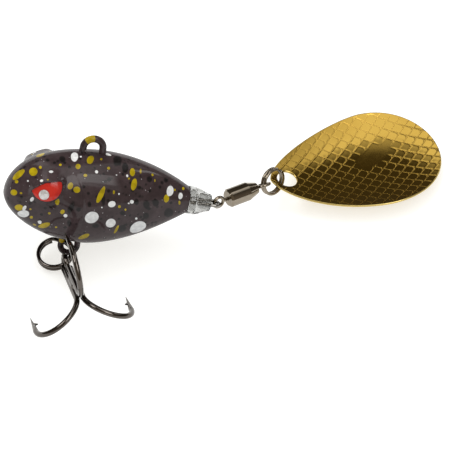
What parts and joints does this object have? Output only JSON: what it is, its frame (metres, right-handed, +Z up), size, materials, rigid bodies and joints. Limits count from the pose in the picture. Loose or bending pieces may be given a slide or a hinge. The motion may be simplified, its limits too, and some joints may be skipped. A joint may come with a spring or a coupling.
{
  "type": "tail spinner lure",
  "caption": "Tail spinner fishing lure: speckled cast fish-head body with a wire line tie, a treble hook on a split ring, and a dished gold blade trailing on a ring and rolling swivel.",
  "frame": {"origin": "centre of the line tie's loop", "axes": "+X from the nose towards the blade, +Z up from the table the lure lies on, +Y away from the side that is seen"},
  "size_m": [0.0708, 0.048, 0.0207],
  "materials": {
    "speckled_paint": "dark charcoal paint with yellow and white droplets under a gloss clear coat",
    "red_eye": "red dome with a pale round pupil, gloss",
    "painted_wire": "wire painted with the body, gloss",
    "steel_wire": "bright drawn wire",
    "clear_sleeve": "clear shrunk plastic, gloss",
    "black_nickel": "black nickel plate",
    "nickel": "bright nickel plate",
    "gold_plate": "polished gold plate with a pressed scale pattern"
  },
  "bodies": {
    "lure": {"body_casting": "speckled_paint", "left_eye": "red_eye", "right_eye": "red_eye", "eye_wire": "painted_wire", "tail_loop": "steel_wire", "tail_sleeve": "clear_sleeve"},
    "hook_ring": {"hook_split_ring": "black_nickel"},
    "treble": {"treble_double_hook": "black_nickel", "treble_single_hook": "black_nickel", "treble_braze": "black_nickel"},
    "swivel_front": {"swivel_front_eye": "nickel"},
    "barrel": {"swivel_barrel": "nickel"},
    "swivel_rear": {"swivel_rear_eye": "nickel"},
    "blade_ring": {"blade_split_ring": "nickel"},
    "spinner": {"blade": "gold_plate"}
  },
  "joints": [
    {"name": "hook_ring_swing", "type": "hinge", "parent": "lure", "child": "hook_ring", "pos_m": [-0.00399, -0.00669, -0.01635], "axis": [-0.5564, 0.8302, 0.0344], "range_deg": [-145, 20]},
    {"name": "treble_slide_round_ring", "type": "hinge", "parent": "hook_ring", "child": "treble", "pos_m": [-0.0062, -0.00816, -0.01679], "axis": [-0.1183, -0.1201, 0.9857], "range_deg": [-50, 4]},
    {"name": "tail_link_swing", "type": "hinge", "parent": "lure", "child": "swivel_front", "pos_m": [0.01953, -0.00147, -0.01219], "axis": [0.2411, 0.3707, 0.8969], "range_deg": [-75, 40]},
    {"name": "barrel_spin", "type": "hinge", "parent": "swivel_front", "child": "barrel", "pos_m": [0.01953, -0.00147, -0.01219], "axis": [0.8283, 0.5379, -0.1564], "continuous": true},
    {"name": "rear_eye_spin", "type": "hinge", "parent": "barrel", "child": "swivel_rear", "pos_m": [0.02738, 0.00363, -0.01367], "axis": [0.8283, 0.5379, -0.1564], "continuous": true},
    {"name": "blade_ring_swing", "type": "hinge", "parent": "swivel_rear", "child": "blade_ring", "pos_m": [0.02738, 0.00363, -0.01367], "axis": [-0.0145, 0.4109, 0.9116], "range_deg": [-40, 40]},
    {"name": "blade_flap", "type": "hinge", "parent": "blade_ring", "child": "spinner", "pos_m": [0.0304, 0.0063, -0.01483], "axis": [-0.3076, 0.9512, 0.0261], "range_deg": [-40, 8]}
  ]
}
